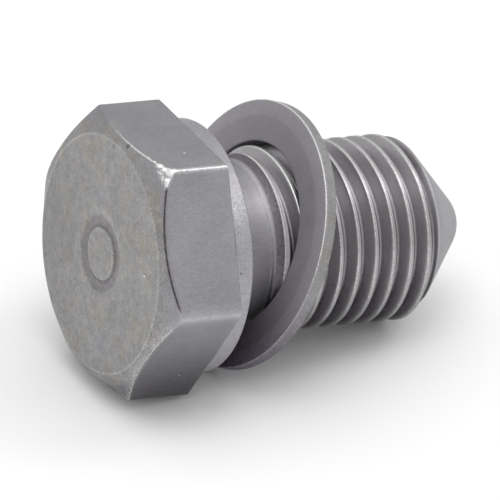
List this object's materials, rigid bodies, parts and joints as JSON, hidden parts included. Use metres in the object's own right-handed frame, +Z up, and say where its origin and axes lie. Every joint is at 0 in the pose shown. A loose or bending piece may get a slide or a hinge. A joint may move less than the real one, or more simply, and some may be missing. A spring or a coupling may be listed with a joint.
{
  "type": "oil drain plug",
  "caption": "Hexagon-head screw plug with a fine thread, a rounded conical nose and a loose captive sealing washer on its neck; closes an engine sump's drain hole.",
  "frame": {"origin": "centre of the underside of the bounding box, on the surface that it lies on", "axes": "+Z up. +X level, from the head towards the nose: the plug's own axis runs along it and drops 9.27 degrees towards the nose. +Y level, across."},
  "size_m": [0.031, 0.022, 0.0202],
  "materials": {
    "plug_steel": "zinc-plated and passivated, satin, faintly mottled, handling marks on the edges",
    "washer_steel": "zinc-plated, satin, punched rim"
  },
  "bodies": {
    "plug": {"drain_plug": "plug_steel"},
    "washer": {"captive_washer": "washer_steel"}
  },
  "joints": [
    {"name": "washer_spin", "type": "hinge", "parent": "plug", "child": "washer", "pos_m": [-0.0018, 0, 0.00934], "axis": [0.905, 0, -0.4254], "continuous": true}
  ]
}
